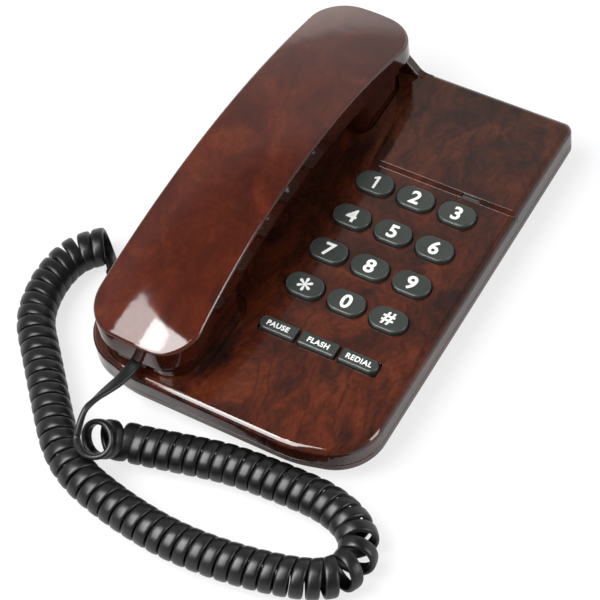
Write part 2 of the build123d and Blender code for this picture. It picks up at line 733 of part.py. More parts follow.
def handset_lower_shell():
    reach = (mouth_cup[0] + 8, ear_cup[1] - 7)
    grip = under_rim(-grip_depth, reach, grip_inset)
    low = [e for e in grip.edges() if hypot(e.center().Y, e.center().Z + arch_radius)
           < arch_radius - grip_depth + 1.0 and e.length > 60 and abs(e.center().X) > 10]
    grip = fillet(low, 2.0)
    outline = block(handset_outline(grip_inset), -90, 60)
    body = grip
    for ends in (mouth_cup, ear_cup):
        foot = cup(ends, 0.0, z_cup_foot) & outline
        foot = fillet(foot.edges().group_by(Axis.Z)[0], 1.2)
        body += foot
    lip_plan = block(handset_outline(shell + lip_inset), -90, 60)
    body += band(-0.6, lip_height) & lip_plan
    hollow_plan = block(handset_outline(shell + lip_inset + lip_thickness), -90, 60)
    hollow = band(-grip_depth + shell, lip_height + 1) & hollow_plan
    hollow &= box((80, reach[1] - reach[0] - 2, 120), (-40, reach[0] + 1, -90))
    body -= hollow
    for ends in (mouth_cup, ear_cup):
        inside = Pos(0, 0, z_cup_foot + shell) * extrude(cup_outline(ends, -shell), 40, taper=-cup_draft)
        body -= inside & hollow_plan & band(-80, lip_height + 1)
    # sound holes, jack opening and screws
    ear_y = receiver_at
    body -= disc(1.1, 9, (0, ear_y), z_cup_foot - 1)
    for ring, count in ((5.0, 6), (10.0, 12)):
        for place in range(count):
            angle = 2 * pi * place / count
            body -= disc(1.1, 3.5, (ring * cos(angle), ear_y + ring * sin(angle)), z_cup_foot - 1)
    for x in (-3.0, 0.0, 3.0):
        body -= disc(0.8, 3.5, (x, mic_at), z_cup_foot - 1)
    socket_z = z_handset_socket - z_grip_rim
    body -= slot_cut((cord_socket[0] + fit, 3 * shell, cord_socket[1] + fit), (0, mouth_cup[0], socket_z))
    # rings that hold the receiver and the microphone
    floor = z_cup_foot + shell
    body += disc(receiver_radius + 1.6, gasket_height + 5.0, (0, ear_y), floor - 0.01) \
        - disc(receiver_radius + 0.2, 9.0, (0, ear_y), floor - 0.5)
    body += disc(mic_radius + mic_sleeve + 1.5, 3.0, (0, mic_at), floor - 0.01) \
        - disc(mic_radius + mic_sleeve + 0.1, 5.0, (0, mic_at), floor - 0.5)
    for y in (-handset_screw_at, handset_screw_at):
        seat = z_handset_boss(y)
        body += disc(3.4, 3.0, (0, y), seat - 3.0) & band(-grip_depth, 5)
        body -= disc(handset_screw_radius + 0.25, 9, (0, y), seat - 6)
        body -= disc(screw_cover_radius + 0.1, 6, (0, y), seat - 1.3 - 6)
    pad = centred((weight_bar[0] + 3, weight_bar[1] + 3, 4.0), (0, 0), z_weight - 4.0)
    body += pad & band(-grip_depth + 0.5, 5)
    body += (centred((weight_bar[0] + 3, weight_bar[1] + 3, 1.5), (0, 0), z_weight)
             - centred((weight_bar[0] + 0.2, weight_bar[1] + 0.2, 1.5), (0, 0), z_weight))
    return body


def receiver_capsule():
    floor = z_cup_foot + shell + gasket_height
    body = disc(receiver_radius, receiver_height * 0.6, (0, receiver_at), floor)
    body += disc(receiver_radius * 0.72, receiver_height, (0, receiver_at), floor)
    return fillet(body.edges().group_by(Axis.Z)[-1], 0.8)


def receiver_gasket():
    floor = z_cup_foot + shell
    return disc(receiver_radius, gasket_height, (0, receiver_at), floor) \
        - disc(receiver_radius - 4.0, gasket_height, (0, receiver_at), floor)


def microphone_capsule():
    return disc(mic_radius, mic_height, (0, mic_at), z_cup_foot + shell + 0.8)


def microphone_boot():
    floor = z_cup_foot + shell
    body = disc(mic_radius + mic_sleeve, mic_height + 0.3, (0, mic_at), floor)
    body -= disc(mic_radius, 20, (0, mic_at), floor + 0.8)
    return body - disc(3.0, 20, (0, mic_at), floor - 1)


def handset_weight():
    return centred(weight_bar, (0, 0), z_weight, 0.0)


def handset_screws():
    radius, height = handset_screw_head
    return [screw(handset_screw_length, (0, y), z_handset_boss(y) - 1.3, radius, handset_screw_radius, height)
            for y in (-handset_screw_at, handset_screw_at)]


def screw_covers():
    """Plugs that hide the screw heads in the grip."""
    plugs = []
    for y in (-handset_screw_at, handset_screw_at):
        head = z_handset_boss(y) - 1.3 - handset_screw_head[1]
        plugs.append(disc(screw_cover_radius, 6, (0, y), head - 6) & band(-grip_depth, 5))
    return plugs


# ------------------------------------------------------------------ curly cord
z_coil = coil_outer / 2 + 0.05
cord_lay = [                    # across, along from the base's front edge, and height
    (-33.5, -33.5, 22.2), (-35.4, -29.9, 17.0), (-29.8, -22.5, z_coil), (-17.4, -19.9, z_coil),
    (-1.0, -15.8, z_coil), (15.0, -12.1, z_coil), (31.0, -10.6, z_coil), (46.0, -9.9, z_coil),
    (60.0, -9.7, z_coil), (74.4, -13.3, z_coil), (83.2, -21.5, z_coil), (83.8, -32.9, z_coil),
    (76.2, -41.3, z_coil), (63.0, -46.1, z_coil), (47.0, -49.7, z_coil), (30.0, -52.1, z_coil),
    (12.0, -52.9, z_coil), (-6.0, -51.3, z_coil), (-22.0, -48.5, z_coil), (-37.0, -44.7, z_coil),
    (-50.5, -36.9, z_coil), (-62.0, -25.3, z_coil), (-74.0, -12.6, z_coil), (-86.5, 0.7, z_coil),
    (-96.5, 11.2, z_coil), (-101.2, 23.7, z_coil), (-102.6, 35.7, z_coil), (-101.4, 46.1, z_coil),
    (-97.2, 53.9, z_coil), (-90.4, 59.7, z_coil)]
coil_route = [(x, base_front + ahead, z) for x, ahead, z in cord_lay]
tail_lay = [(-39.6, -14.3, 27.2), (-40.7, -20.9, 28.7)]
coil_radius = (coil_outer - wire) / 2
first_radial = Vector(-0.931, -0.219, 0.292)     # the side of the route on which the coil starts


def route_point(points, u):
    """Point at u on the clamped quadratic spline over the route's points."""
    spans = len(points) - 2
    span = min(int(u), spans - 1)
    knots = [min(max(k - 2, 0), spans) for k in range(len(points) + 3)]
    level = [Vector(*points[span + k]) for k in range(3)]
    for depth in (1, 2):
        for k in range(2, depth - 1, -1):
            low, high = knots[span + k], knots[span + k + 3 - depth]
            share = (u - low) / (high - low)
            level[k] = level[k - 1] * (1 - share) + level[k] * share
    return level[2]


def walk_route(points, steps_per_span=60):
    """Places, directions, lengths and bends along a route."""
    spans = len(points) - 2
    places = [route_point(points, n / steps_per_span) for n in range(spans * steps_per_span + 1)]
    last = len(places) - 1
    directions = [(places[min(n + 1, last)] - places[max(n - 1, 0)]).normalized() for n in range(last + 1)]
    lengths = [0.0]
    for n in range(last):
        lengths.append(lengths[-1] + (places[n + 1] - places[n]).length)
    reach = steps_per_span // 6
    bends = []
    for n in range(last + 1):
        a, b = max(n - reach, 0), min(n + reach, last)
        bends.append(radians(directions[a].get_angle(directions[b])) / (lengths[b] - lengths[a]))
    return places, directions, lengths, bends


def carry_frame(directions, radial):
    """The radial direction carried along a route without twist."""
    radials = []
    for direction in directions:
        radial = (radial - direction * radial.dot(direction)).normalized()
        radials.append(radial)
    return radials


def helix_points(points, turns, radius, pitch, least, radial, per_turn):
    """Points and directions of a left-handed helix round a route, wider spaced where it bends."""
    places, directions, lengths, bends = walk_route(points)
    radials = carry_frame(directions, radial)
    rates = [1.0 / max(pitch, least / max(1.0 - radius * bend, 0.2)) for bend in bends]
    angles = [0.0]
    for n in range(len(places) - 1):
        step = lengths[n + 1] - lengths[n]
        angles.append(angles[-1] + step * (rates[n] + rates[n + 1]) / 2)
    scale = 2 * pi * turns / angles[-1]

    def at(angle):
        target = angle / scale
        low, high = 0, len(angles) - 1
        while high - low > 1:
            middle = (low + high) // 2
            low, high = (middle, high) if angles[middle] <= target else (low, middle)
        share = (target - angles[low]) / (angles[high] - angles[low])
        centre = places[low] * (1 - share) + places[high] * share
        direction = (directions[low] * (1 - share) + directions[high] * share).normalized()
        out = (radials[low] * (1 - share) + radials[high] * share).normalized()
        side = direction.cross(out)
        return centre + (out * cos(angle) - side * sin(angle)) * radius

    count = int(round(turns * per_turn))
    total = 2 * pi * turns
    small = 0.01
    spots, headings = [], []
    for n in range(count + 1):
        angle = total * n / count
        spots.append(at(angle))
        a, b = max(angle - small, 0), min(angle + small, total)
        headings.append((at(b) - at(a)).normalized())
    return spots, headings, lengths[-1]


def biarc(start, heading, end, final):
    """Two arcs that join two points with given directions."""
    across = end - start
    both = heading + final
    factor = 2 * (1 - heading.dot(final))
    along = across.dot(both)
    if factor < 1e-6:
        reach = across.dot(across) / (2 * along)
    else:
        reach = (sqrt(along ** 2 + factor * across.dot(across)) - along) / factor
    joint = (start + heading * reach + end - final * reach) * 0.5
    turn = (end - final * reach - start - heading * reach).normalized()
    return [Edge.make_tangent_arc(start, heading, joint), Edge.make_tangent_arc(joint, turn, end)]


def least_gap(spots, per_turn, thickness):
    """Least surface gap between stretches of the coil that are more than half a turn apart."""
    nearest = 1e9
    apart = int(per_turn * 0.6)
    cells = {}
    for n, spot in enumerate(spots):
        cell = tuple(int(value // 8) for value in (spot.X, spot.Y, spot.Z))
        cells.setdefault(cell, []).append(n)
    for (i, j, k), members in cells.items():
        near = [m for a in (-1, 0, 1) for b in (-1, 0, 1) for c in (-1, 0, 1)
                for m in cells.get((i + a, j + b, k + c), [])]
        for n in members:
            for m in near:
                if m - n > apart:
                    nearest = min(nearest, (spots[n] - spots[m]).length)
    return nearest - thickness


def round_tube(path, radius):
    profile = Plane(origin=path @ 0, z_dir=path % 0) * Circle(radius)
    return sweep(profile, path=path)


def cord_coil():
    spots, headings, length = helix_points(
        coil_route, coil_turns, coil_radius, coil_pitch, wire + turn_gap, first_radial, 2)
    fine = helix_points(coil_route, coil_turns, coil_radius, coil_pitch, wire + turn_gap, first_radial, 24)[0]
    start = spots[0] - headings[0] * wire
    finish = spots[-1] + headings[-1] * wire
    edges = [Edge.make_line(start, spots[0])]
    for n in range(len(spots) - 1):
        edges += biarc(spots[n], headings[n], spots[n + 1], headings[n + 1])
    edges.append(Edge.make_line(spots[-1], finish))
    path = Wire(edges)
    print("coil: route", round(length, 1), "turns", coil_turns, "wire length", round(path.length, 1),
          "least gap", round(least_gap(fine, 24, wire), 2),
          "lowest", round(min(spot.Z for spot in fine) - wire / 2, 2))
    return round_tube(path, wire / 2), (start, headings[0]), (finish, headings[-1])


def tail(points):
    """Round cord along straight runs joined by arcs as large as the runs allow."""
    vectors = [Vector(*point) for point in points]
    radii = []
    for a, b, c in zip(vectors, vectors[1:], vectors[2:]):
        turn = radians((b - a).get_angle(c - b))
        radii.append(0.45 * min((b - a).length, (c - b).length) / tan(turn / 2))
    path = FilletPolyline(*points, radius=radii)
    tube = round_tube(path, wire / 2)
    print("tail radii", [round(radius, 1) for radius in radii], "length", round(path.length, 1),
          "volume ratio", round(tube.volume / (pi * (wire / 2) ** 2 * path.length), 4))
    return tube


def handset_tail(meets, heading):
    """From the handset's plug, down to the start of the coil."""
    exit_y = mouth_cup[0] - plug_proud
    exit_z = z_handset_socket - z_grip_rim
    start = (handset_place * Pos(0, exit_y, exit_z)).position
    second = (handset_place * Pos(0, exit_y - 8.5, exit_z)).position
    last = meets - heading * 5.5
    hangs = [(x, base_front + ahead, z) for x, ahead, z in tail_lay]
    return tail([tuple(start), tuple(second), *hangs, tuple(last), tuple(meets)])


def base_tail(meets, heading):
    """From the end of the coil to the base's plug."""
    end = (-base_half - plug_proud, base_jack_y, z_base_socket)
    first = meets + heading * 4.5
    return tail([tuple(meets), tuple(first), (end[0] - 7.5, end[1], end[2]), end])


# ------------------------------------------------------------------ the pieces
save(top_housing(), "top_housing")
save(bottom_cover(), "bottom_cover")
save(main_board(), "main_board")
save_group(circuit_parts(), "circuit_parts")
save(key_membrane(), "key_membrane")
for label in keys:
    save(dial_key(label), f"key_{label}")
for name in function_keys:
    save(function_key(name), f"key_{name}")
save(led(), "status_led")
save(led_lens(), "led_lens")
save(hook_plunger(), "hook_plunger")
save(hook_switch(), "hook_switch")
save(hook_spring(), "hook_spring")
save(ringer_capsule(), "ringer_capsule")
save(ballast_plate(), "ballast_plate")
save_group(feet(), "feet")
save_group([screw(housing_screw_length, spot, z_screw_seat) for spot in screw_spots], "housing_screws")
save_group([screw(board_screw_length, spot, z_board - board_thickness, 2.0, board_screw_radius, 1.2)
            for spot in board_spots], "board_screws")
for name, x in (("ringer_switch", ringer_switch_x), ("dial_mode", dial_mode_switch_x)):
    switch, knob = slide_switch(x)
    save(switch, name)
    save(knob, f"{name}_knob")
save(Pos(line_jack_x, rear_face - jack_gap, z_line_socket) * Rot(0, 0, 180)
     * socket_body(line_jack, line_socket, socket_depth), "line_jack")
save(base_jack_place(socket_body(cord_jack, cord_socket, socket_depth)), "base_cord_jack")
save(base_plug_place(modular_plug(plug)), "base_plug")

save(place_handset(handset_upper_shell()), "handset_upper_shell")
save(place_handset(handset_lower_shell()), "handset_lower_shell")
save(place_handset(receiver_capsule()), "receiver_capsule")
save(place_handset(receiver_gasket()), "receiver_gasket")
save(place_handset(microphone_capsule()), "microphone_capsule")
save(place_handset(microphone_boot()), "microphone_boot")
save(place_handset(handset_weight()), "handset_weight")
save_group([place_handset(part) for part in handset_screws()], "handset_screws")
save_group([place_handset(part) for part in screw_covers()], "screw_covers")
save(handset_jack_place(socket_body(cord_jack, cord_socket, socket_depth)), "handset_jack")
save(handset_plug_place(modular_plug(plug)), "handset_plug")

coil, coil_start, coil_finish = cord_coil()
save(coil, "cord_coil")
save(handset_tail(*coil_start), "handset_cord_tail")
save(base_tail(*coil_finish), "base_cord_tail")
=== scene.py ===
"""Slimline corded telephone: looks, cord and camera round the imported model. Metres, in the model's frame."""
import json
from math import cos, pi, radians, sin

import bpy
import numpy as np
from mathutils import Matrix, Vector


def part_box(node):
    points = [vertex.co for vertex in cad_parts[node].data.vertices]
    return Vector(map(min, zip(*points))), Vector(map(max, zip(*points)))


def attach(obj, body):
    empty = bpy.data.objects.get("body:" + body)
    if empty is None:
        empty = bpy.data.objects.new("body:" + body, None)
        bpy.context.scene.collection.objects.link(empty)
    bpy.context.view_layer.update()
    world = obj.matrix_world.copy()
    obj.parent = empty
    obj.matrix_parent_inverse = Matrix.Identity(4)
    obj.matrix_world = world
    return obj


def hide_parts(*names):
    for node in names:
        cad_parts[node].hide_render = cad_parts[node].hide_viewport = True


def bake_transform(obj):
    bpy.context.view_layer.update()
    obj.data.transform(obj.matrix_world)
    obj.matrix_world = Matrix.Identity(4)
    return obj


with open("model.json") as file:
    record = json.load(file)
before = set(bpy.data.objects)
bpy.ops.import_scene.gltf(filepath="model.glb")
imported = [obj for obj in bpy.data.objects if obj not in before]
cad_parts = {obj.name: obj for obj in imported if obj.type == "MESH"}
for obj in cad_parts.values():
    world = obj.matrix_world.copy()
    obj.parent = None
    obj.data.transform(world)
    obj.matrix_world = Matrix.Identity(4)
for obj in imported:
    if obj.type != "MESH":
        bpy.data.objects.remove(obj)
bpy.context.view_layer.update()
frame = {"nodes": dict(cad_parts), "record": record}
nodes = frame["nodes"]
MM = 0.001


# ---------------------------------------------------------------- small helpers
def new_object(name, data):
    piece = bpy.data.objects.new(name, data)
    bpy.context.scene.collection.objects.link(piece)
    return piece


def mesh_object(name, vertices, faces):
    mesh = bpy.data.meshes.new(name)
    mesh.from_pydata([tuple(v) for v in vertices], [], [tuple(f) for f in faces])
    mesh.update()
    mesh.polygons.foreach_set("use_smooth", [True] * len(mesh.polygons))
    return new_object(name, mesh)


def route_line(name, points):
    """Points along the NURBS spline whose control points are given, in metres."""
    curve = bpy.data.curves.new(name, "CURVE")
    curve.dimensions = "3D"
    curve.resolution_u = 40
    spline = curve.splines.new("NURBS")
    spline.points.add(len(points) - 1)
    for point, place in zip(spline.points, points):
        point.co = (place[0], place[1], place[2], 1.0)
    spline.order_u = 3
    spline.use_endpoint_u = True
    holder = new_object(name, curve)
    bpy.context.view_layer.update()
    mesh = bpy.data.meshes.new_from_object(holder)
    line = np.array([v.co for v in mesh.vertices], float)
    bpy.data.meshes.remove(mesh)
    bpy.data.objects.remove(holder)
    bpy.data.curves.remove(curve)
    return line


def unit(rows):
    rows = np.asarray(rows, float)
    return rows / np.linalg.norm(rows, axis=-1, keepdims=True)


def directions_of(line):
    return unit(np.gradient(line, axis=0))


def lengths_of(line):
    return np.concatenate([[0.0], np.cumsum(np.linalg.norm(np.diff(line, axis=0), axis=1))])


def rows_at(wanted, known, rows):
    """Rows of three numbers, known at some places, read off at others."""
    return np.stack([np.interp(wanted, known, rows[:, k]) for k in range(3)], 1)


def resample(line, count):
    """The line at evenly spaced lengths."""
    along = lengths_of(line)
    return rows_at(np.linspace(0, along[-1], count), along, line)


# ---------------------------------------------------------------- materials
class Nodes:
    """Short names for building a node tree."""

    def __init__(self, tree):
        self.tree = tree

    def add(self, kind, **values):
        node = self.tree.nodes.new(kind)
        for key, value in values.items():
            setattr(node, key, value)
        return node

    def link(self, source, target):
        self.tree.links.new(source, target)

    def noise(self, vector, scale, detail=3.0, roughness=0.5, distortion=0.0):
        """Noise on a vector; its scale is in waves a metre."""
        node = self.add("ShaderNodeTexNoise")
        node.inputs["Scale"].default_value = scale
        node.inputs["Detail"].default_value = detail
        node.inputs["Roughness"].default_value = roughness
        node.inputs["Distortion"].default_value = distortion
        self.link(vector, node.inputs["Vector"])
        return node.outputs["Fac"]

    def ramp(self, factor, stops, smooth=True):
        """A colour ramp, with stops given as (place, colour)."""
        node = self.add("ShaderNodeValToRGB")
        ramp = node.color_ramp
        ramp.interpolation = "B_SPLINE" if smooth else "LINEAR"
        while len(ramp.elements) < len(stops):
            ramp.elements.new(0.5)
        for element, (place, colour) in zip(ramp.elements, stops):
            element.position = place
            element.color = (*colour, 1.0)
        self.link(factor, node.inputs["Fac"])
        return node.outputs["Color"]

    def greys(self, factor, stops, smooth=True):
        """A ramp of plain greys, given as (place, value)."""
        return self.ramp(factor, [(place, (value,) * 3) for place, value in stops], smooth)

    def times(self, one, two):
        return self.maths("MULTIPLY", one, two)

    def apart(self, vector):
        """The node that splits a vector into X, Y and Z."""
        node = self.add("ShaderNodeSeparateXYZ")
        self.link(vector, node.inputs[0])
        return node

    def mix(self, factor, one, two, blend="MIX"):
        node = self.add("ShaderNodeMix", data_type="RGBA", blend_type=blend)
        for value, socket in ((factor, node.inputs[0]), (one, node.inputs[6]), (two, node.inputs[7])):
            if isinstance(value, bpy.types.NodeSocket):
                self.link(value, socket)
            elif isinstance(value, (int, float)):
                socket.default_value = value
            else:
                socket.default_value = (*value, 1.0)
        return node.outputs[2]

    def maths(self, operation, one, two=0.0, three=0.0):
        node = self.add("ShaderNodeMath", operation=operation)
        for value, socket in zip((one, two, three), node.inputs):
            if isinstance(value, bpy.types.NodeSocket):
                self.link(value, socket)
            else:
                socket.default_value = value
        return node.outputs[0]

    def place(self, scale=(1, 1, 1), turn=(0, 0, 0), shift=(0, 0, 0)):
        """Object coordinates, stretched, turned and shifted."""
        coordinates = self.add("ShaderNodeTexCoord")
        mapping = self.add("ShaderNodeMapping")
        mapping.inputs["Scale"].default_value = scale
        mapping.inputs["Rotation"].default_value = turn
        mapping.inputs["Location"].default_value = shift
        self.link(coordinates.outputs["Object"], mapping.inputs["Vector"])
        return mapping.outputs["Vector"]

    def warp(self, vector, scale, amount):
        """Push a vector about by noise, by up to half the amount in metres."""
        noise = self.noise(vector, scale, 2.0).node
        centred = self.add("ShaderNodeVectorMath", operation="SUBTRACT")
        self.link(noise.outputs["Color"], centred.inputs[0])
        centred.inputs[1].default_value = (0.5, 0.5, 0.5)
        sized = self.add("ShaderNodeVectorMath", operation="SCALE")
        self.link(centred.outputs[0], sized.inputs[0])
        sized.inputs["Scale"].default_value = amount
        moved = self.add("ShaderNodeVectorMath", operation="ADD")
        self.link(vector, moved.inputs[0])
        self.link(sized.outputs[0], moved.inputs[1])
        return moved.outputs[0]


def material(name, **values):
    """A Principled material; returns it with its node helper and its shader."""
    made = bpy.data.materials.new(name)
    made.use_nodes = True
    tree = Nodes(made.node_tree)
    shader = made.node_tree.nodes["Principled BSDF"]
    for key, value in values.items():
        socket = shader.inputs[key.replace("_", " ")]
        socket.default_value = (*value, 1.0) if isinstance(value, tuple) else value
    return made, tree, shader


def bump(tree, shader, height, strength, distance):
    node = tree.add("ShaderNodeBump")
    node.inputs["Strength"].default_value = strength
    node.inputs["Distance"].default_value = distance
    tree.link(height, node.inputs["Height"])
    tree.link(node.outputs["Normal"], shader.inputs["Normal"])
    return node


def burl_plastic(name, shift, figure, tint):
    """Gloss plastic printed with a burl figure: red-brown clouds, near-black blotches and fine swirling lines.

    The figure's share shows over the plain tint. A painted sheen greys it towards the back, and painted shade darkens
    its walls.
    """
    made, tree, shader = material(name, IOR=1.5)
    base = tree.place(scale=(1.0, 0.72, 1.0), turn=(0, 0, radians(18)), shift=shift)
    bent = tree.warp(tree.warp(base, 15.0, 0.034), 46.0, 0.013)
    clouds = tree.noise(bent, 40.0, 6.0, 0.58, 0.9)
    colour = tree.ramp(clouds, [
        (0.33, (0.019, 0.0060, 0.0038)), (0.44, (0.044, 0.0105, 0.0055)),
        (0.53, (0.068, 0.0135, 0.0058)), (0.64, (0.105, 0.0225, 0.0078))])
    # the figure runs redder to the front along a wandering line, and is painted greyer to the back as a sheen of the
    # bright far wall
    place = tree.add("ShaderNodeTexCoord")
    axes = tree.apart(place.outputs["Object"])
    wander = tree.times(tree.noise(bent, 14.0, 2.0), 0.16)
    back = tree.maths("MULTIPLY_ADD", axes.outputs["Y"], 3.4, 0.42)
    back = tree.maths("ADD", back, wander)
    red = tree.mix(0.30, colour, (0.105, 0.0150, 0.0040), "SCREEN")
    redness = tree.greys(tree.noise(bent, 24.0, 3.0), [(0.47, 0), (0.60, 1)])
    front = tree.greys(back, [(0.25, 1), (0.62, 0)])
    colour = tree.mix(tree.times(tree.times(redness, front), 0.60), colour, red)
    # painted sheen: the colour is greyed towards the back in place of a reflection
    painted_sheen_grey = tree.mix(1.0, colour, (0.62, 1.00, 1.25), "MULTIPLY")
    colour = tree.mix(tree.greys(back, [(0.50, 0), (0.95, 1)]), colour, painted_sheen_grey)
    # fine lines that follow the clouds
    rings = tree.add("ShaderNodeTexWave", wave_type="BANDS", bands_direction="DIAGONAL", wave_profile="SIN")
    rings.inputs["Scale"].default_value = 40.0
    rings.inputs["Distortion"].default_value = 11.0
    rings.inputs["Detail"].default_value = 3.0
    rings.inputs["Detail Scale"].default_value = 1.4
    tree.link(bent, rings.inputs["Vector"])
    lines = tree.greys(rings.outputs["Fac"], [(0.0, 1), (0.20, 0)])
    where = tree.greys(tree.noise(base, 22.0, 2.0), [(0.42, 0), (0.60, 1)])
    colour = tree.mix(tree.times(tree.times(lines, where), 0.60), colour, (0.014, 0.006, 0.005))
    # near-black blotches, a few millimetres across
    knots = tree.noise(tree.warp(bent, 90.0, 0.006), 52.0, 4.0, 0.6)
    dark = tree.greys(knots, [(0.53, 0), (0.64, 1)])
    colour = tree.mix(tree.times(dark, 0.90), colour, (0.0085, 0.0055, 0.0050))
    # fine grain over all
    speckle = tree.noise(bent, 420.0, 3.0, 0.7)
    grain = tree.ramp(speckle, [(0.35, (0.72, 0.72, 0.72)), (0.65, (1.22, 1.20, 1.18))], False)
    colour = tree.mix(1.0, colour, grain, "MULTIPLY")
    colour = tree.mix(figure, tint, colour)
    # painted shade: the walls are darker than the tops
    facing = tree.add("ShaderNodeNewGeometry")
    painted_shade_facing = tree.apart(facing.outputs["Normal"])
    colour = tree.mix(1.0, colour, tree.greys(painted_shade_facing.outputs["Z"], [(0.25, 0.50), (0.80, 1.0)]), "MULTIPLY")
    tree.link(colour, shader.inputs["Base Color"])
    # wiped gloss, edges rounded by a fraction of a millimetre, and a faint waviness
    wipes = tree.noise(tree.place(scale=(1, 3, 1)), 22.0, 4.0)
    tree.link(tree.greys(wipes, [(0.3, 0.045), (0.7, 0.085)], False), shader.inputs["Roughness"])
    rounded = tree.add("ShaderNodeBevel", samples=4)
    rounded.inputs["Radius"].default_value = 0.4 * MM
    waves = bump(tree, shader, tree.noise(base, 160.0, 2.0), 0.04, 0.4 * MM)
    tree.link(rounded.outputs["Normal"], waves.inputs["Normal"])
    return made


def moulded(name, colour, roughness, spread=0.15, grain=900.0, depth=0.04 * MM, **values):
    """Plain moulded plastic, rubber or metal with slight colour drift and a fine texture."""
    made, tree, shader = material(name, **values)
    place = tree.place()
    drift = tree.noise(place, 60.0, 3.0)
    low = tuple(c * (1 - spread) for c in colour)
    high = tuple(c * (1 + spread) for c in colour)
    tree.link(tree.ramp(drift, [(0.3, low), (0.7, high)], False), shader.inputs["Base Color"])
    rough = tree.greys(drift, [(0.3, roughness * 0.9), (0.7, roughness * 1.1)], False)
    tree.link(rough, shader.inputs["Roughness"])
    bump(tree, shader, tree.noise(place, grain, 3.0), 0.25, depth)
    return made


looks = {
    "burl_plastic": burl_plastic("burl_base", (0.0, 0.0, 0.0), 0.95, (0.050, 0.0095, 0.0045)),
    "handset_burl": burl_plastic("burl_handset", (0.31, 0.17, 0.05), 0.62, (0.092, 0.0120, 0.0042)),
    "key_plastic": moulded("key_satin", (0.025, 0.031, 0.027), 0.42),
    "black_plastic": moulded("black_matte", (0.012, 0.012, 0.012), 0.5),
    "cord_plastic": moulded("cord_satin", (0.0036, 0.0041, 0.0038), 0.36, grain=500.0, depth=0.02 * MM,
                            Specular_IOR_Level=0.36),
    "legend_ink": moulded("legend_ink", (0.80, 0.81, 0.78), 0.5, spread=0.03),
    "clear_plastic": moulded("clear_plug", (0.42, 0.42, 0.40), 0.08, spread=0.02, Transmission_Weight=0.70,
                             IOR=1.56),
    "lens_plastic": moulded("lens_smoke", (0.050, 0.045, 0.040), 0.12, spread=0.05),
    "led_red": moulded("led_red", (0.35, 0.02, 0.015), 0.2),
    "silicone": moulded("silicone", (0.17, 0.17, 0.165), 0.6),
    "rubber_black": moulded("foot_rubber", (0.012, 0.012, 0.013), 0.75),
    "circuit_board": moulded("board_laminate", (0.16, 0.085, 0.030), 0.5, grain=300.0),
    "steel": moulded("zinc_steel", (0.50, 0.50, 0.50), 0.35, Metallic=1.0),
    "gold": moulded("contact_gold", (0.70, 0.48, 0.18), 0.25, Metallic=1.0),
}


def dress(piece, look):
    """Give a piece one of the looks."""
    piece.data.materials.clear()
    piece.data.materials.append(looks[look])


slots = {part["node"]: part["material_slot"] for part in frame["record"]["subparts"]}
for name, node in nodes.items():
    look = slots[name]
    if look == "burl_plastic" and name.startswith(("handset", "screw")):
        look = "handset_burl"
    dress(node, look)
    normals = node.modifiers.new("normals", "WEIGHTED_NORMAL")
    normals.keep_sharp = True

# ---------------------------------------------------------------- camera
camera_place = (0.34176, -0.46606, 0.76757)
camera_right = (0.86080, 0.49895, -0.10032)
camera_up = (-0.35687, 0.73230, 0.57999)
camera_back = (0.36285, -0.46346, 0.80843)
camera_data = bpy.data.cameras.new("camera")
camera_data.sensor_width = 36.0
camera_data.lens = 132.06
camera_data.clip_start = 0.01
camera = new_object("camera", camera_data)
camera_turn = Matrix((camera_right, camera_up, camera_back)).transposed()
camera.matrix_world = Matrix.Translation(camera_place) @ camera_turn.to_4x4()
bpy.context.scene.camera = camera

# ---------------------------------------------------------------- curly cord
coil_outer = 16.8 * MM
coil_turns = 66.19
coil_pitch = 5.8 * MM
bend_pitch = 4.1 * MM        # the closest that two turns come on the inside of a bend
bend_radius = 6.5 * MM       # where that is measured
cord_width = 5.5 * MM
cord_thickness = 2.5 * MM
width_power = 0.55           # squareness of the flat section, across its width and its thickness
thickness_power = 0.75
coil_radius = (coil_outer - cord_thickness) / 2
first_radial = (-0.931, -0.219, 0.292)  # where the first turn starts
steps_per_turn = 30
base_tail_steps = 40
handset_tail_steps = 70
base_exit_height = 14.9 * MM
handset_exit_height = 26.2 * MM
handset_turn = radians(-1.1)
z_coil = coil_outer / 2 + 0.05 * MM
coil_route = [(x * MM, y * MM, z_coil if z is None else z * MM) for x, y, z in [
    (-33.5, -136.0, 22.2), (-35.4, -132.4, 17.0), (-29.8, -125.0, None), (-17.4, -122.4, None),
    (-1.0, -118.3, None), (15.0, -114.6, None), (31.0, -113.1, None), (46.0, -112.4, None),
    (60.0, -112.2, None), (74.4, -115.8, None), (83.2, -124.0, None), (83.8, -135.4, None),
    (76.2, -143.8, None), (63.0, -148.6, None), (47.0, -152.2, None), (30.0, -154.6, None),
    (12.0, -155.4, None), (-6.0, -153.8, None), (-22.0, -151.0, None), (-37.0, -147.2, None),
    (-50.5, -139.4, None), (-62.0, -127.8, None), (-74.0, -115.1, None), (-86.5, -101.8, None),
    (-96.5, -91.3, None), (-101.2, -78.8, None), (-102.6, -66.8, None), (-101.4, -56.4, None),
    (-97.2, -48.6, None), (-90.4, -42.8, None)]]


def carry(directions, radial):
    """A radial direction carried along a line without twist."""
    carried = []
    radial = np.array(radial, float)
    for direction in directions:
        radial = unit(radial - direction * radial.dot(direction))
        carried.append(radial)
    return np.array(carried)


